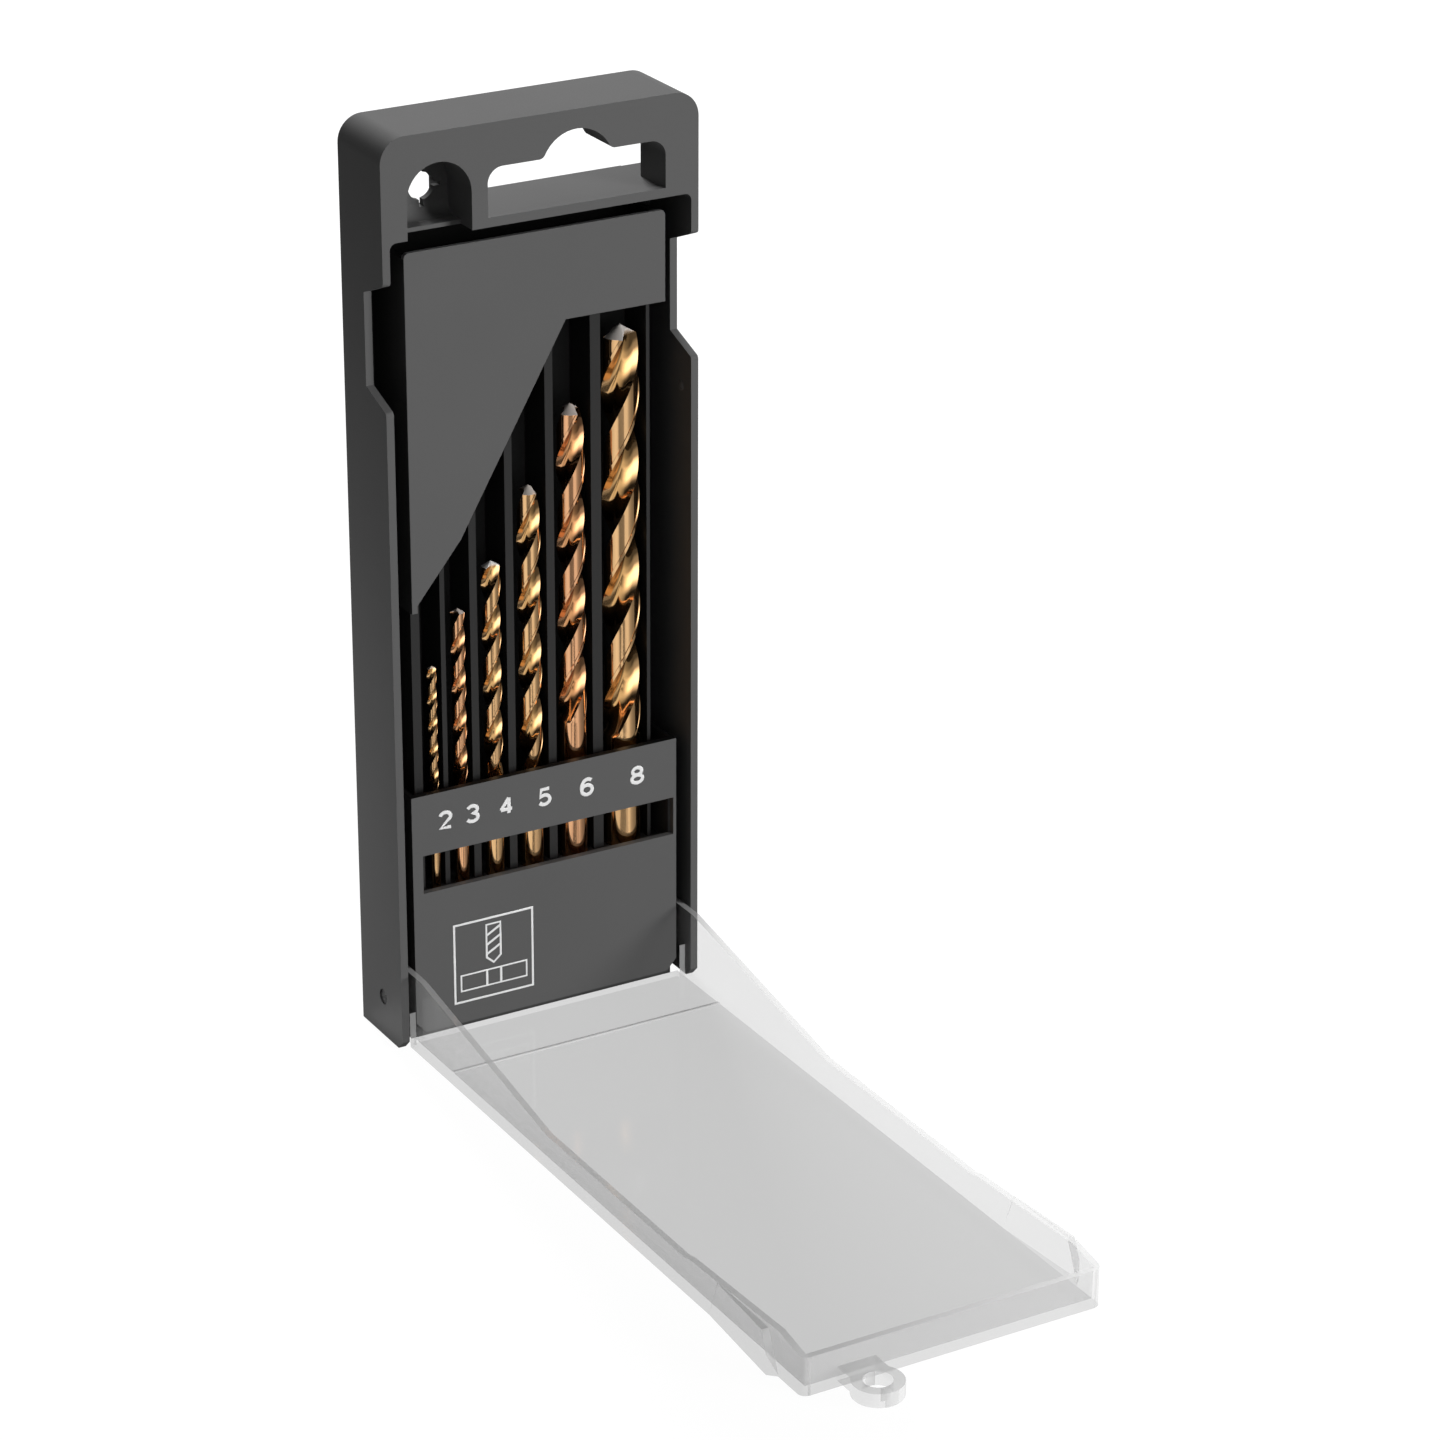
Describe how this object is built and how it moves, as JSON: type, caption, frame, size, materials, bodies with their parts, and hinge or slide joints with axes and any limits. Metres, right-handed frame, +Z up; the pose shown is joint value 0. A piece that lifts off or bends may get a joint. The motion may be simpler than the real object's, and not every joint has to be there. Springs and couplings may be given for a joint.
{
  "type": "drill bit case",
  "caption": "Upright moulded cassette for twist drills with hanging slot, numbered holder strip, sliding-out drills and a clear lid that folds down to the floor.",
  "frame": {"origin": "middle of the case's foot, on the floor that case and open lid stand on", "axes": "+X to the right as seen from the open side, +Y towards the case's back, +Z up along the case and the drills"},
  "size_m": [0.072, 0.1924, 0.2006],
  "materials": {
    "case_plastic": "dark grey moulded polypropylene, fine matte grain",
    "panel_plastic": "dark grey moulded polypropylene, fine matte grain",
    "holder_plastic": "dark grey moulded polypropylene, fine matte grain",
    "clear_plastic": "clear moulded polystyrene, smooth",
    "coated_steel": "ground high-speed steel with a gold-coloured hard coating",
    "copper_toned_steel": "ground high-speed steel with a coating of a more coppery gold"
  },
  "bodies": {
    "case": {"case_body": "case_plastic", "cover_panel": "panel_plastic", "drill_holder": "holder_plastic"},
    "lid": {"lid": "clear_plastic"},
    "drill_2": {"drill_2": "coated_steel"},
    "drill_3": {"drill_3": "copper_toned_steel"},
    "drill_4": {"drill_4": "coated_steel"},
    "drill_5": {"drill_5": "coated_steel"},
    "drill_6": {"drill_6": "copper_toned_steel"},
    "drill_8": {"drill_8": "coated_steel"}
  },
  "joints": [
    {"name": "lid_hinge", "type": "hinge", "parent": "case", "child": "lid", "pos_m": [0, -0.0007, 0.0092], "axis": [1, 0, 0], "range_deg": [-90, 0]},
    {"name": "drill_2_slide", "type": "slide", "parent": "case", "child": "drill_2", "axis": [0, 0, 1], "range_m": [0, 0.027]},
    {"name": "drill_3_slide", "type": "slide", "parent": "case", "child": "drill_3", "axis": [0, 0, 1], "range_m": [0, 0.027]},
    {"name": "drill_4_slide", "type": "slide", "parent": "case", "child": "drill_4", "axis": [0, 0, 1], "range_m": [0, 0.027]},
    {"name": "drill_5_slide", "type": "slide", "parent": "case", "child": "drill_5", "axis": [0, 0, 1], "range_m": [0, 0.027]},
    {"name": "drill_6_slide", "type": "slide", "parent": "case", "child": "drill_6", "axis": [0, 0, 1], "range_m": [0, 0.027]},
    {"name": "drill_8_slide", "type": "slide", "parent": "case", "child": "drill_8", "axis": [0, 0, 1], "range_m": [0, 0.027]}
  ]
}
